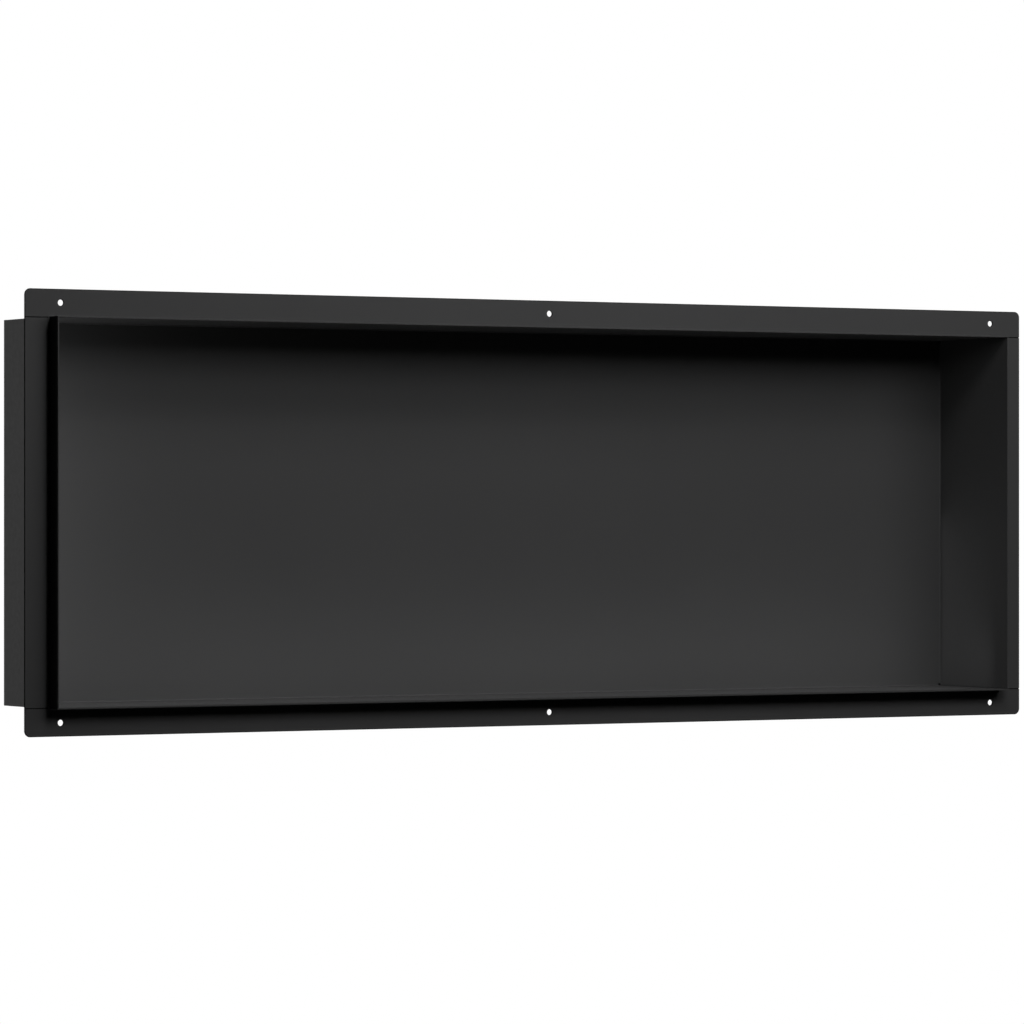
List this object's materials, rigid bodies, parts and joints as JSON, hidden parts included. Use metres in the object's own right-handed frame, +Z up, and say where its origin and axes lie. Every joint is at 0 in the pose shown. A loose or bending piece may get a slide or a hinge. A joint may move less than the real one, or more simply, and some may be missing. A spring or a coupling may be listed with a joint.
{
  "type": "recessed wall niche",
  "caption": "Long shallow wall niche folded from coated black sheet steel, with a thin raised lip that tiles butt against and a set-back welded flange with screw holes.",
  "frame": {"origin": "centre of the opening and of the screw pattern, in the plane of the wall behind the flange", "axes": "+X along the length, +Y into the wall, +Z up; the open front faces -Y"},
  "size_m": [0.951, 0.1032, 0.351],
  "materials": {
    "coated_steel": "matte black coating"
  },
  "bodies": {
    "root": {"niche_shell": "coated_steel"}
  },
  "joints": []
}
